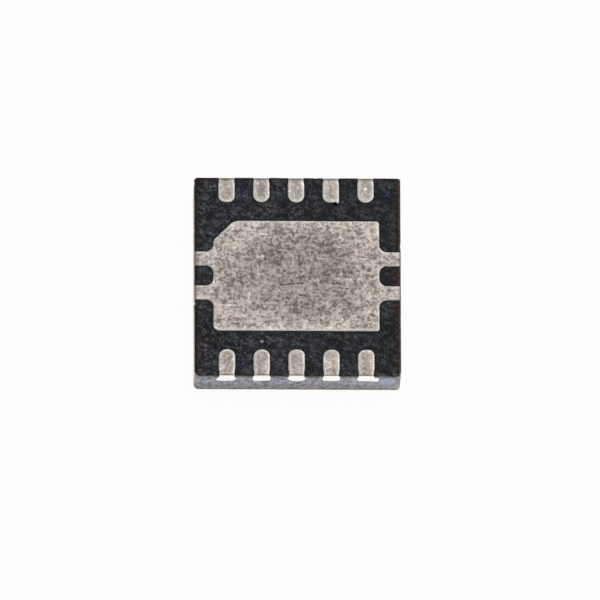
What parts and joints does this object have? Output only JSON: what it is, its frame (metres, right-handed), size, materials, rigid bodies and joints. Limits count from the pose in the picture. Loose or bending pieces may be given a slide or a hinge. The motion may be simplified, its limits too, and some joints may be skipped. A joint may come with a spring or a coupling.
{
  "type": "integrated circuit",
  "caption": "Small square leadless integrated circuit in black epoxy, with rows of flat round-tipped terminals and a chamfered exposed pad held by tie bars.",
  "frame": {"origin": "middle of the marked face, which the part lies on", "axes": "+Z from the marked face to the terminal face; +X along the rows of leads; the chamfered pin 1 corner of the pad is at -X, +Y"},
  "size_m": [0.003, 0.003, 0.0008],
  "materials": {
    "epoxy": "fine matte moulding compound with glassy filler flecks",
    "plated_copper": "satin plating over rolled and etched copper, finely scratched",
    "silicon": "polished silicon",
    "silver_epoxy": "matte silver-filled glue",
    "gold": "bright drawn gold wire"
  },
  "bodies": {
    "root": {"moulded_body": "epoxy", "die_paddle": "plated_copper", "lead_1": "plated_copper", "lead_2": "plated_copper", "lead_3": "plated_copper", "lead_4": "plated_copper", "lead_5": "plated_copper", "lead_6": "plated_copper", "lead_7": "plated_copper", "lead_8": "plated_copper", "lead_9": "plated_copper", "lead_10": "plated_copper", "die_attach": "silver_epoxy", "die": "silicon", "bond_wire_1": "gold", "bond_wire_2": "gold", "bond_wire_3": "gold", "bond_wire_4": "gold", "bond_wire_5": "gold", "bond_wire_6": "gold", "bond_wire_7": "gold", "bond_wire_8": "gold", "bond_wire_9": "gold", "bond_wire_10": "gold"}
  },
  "joints": []
}
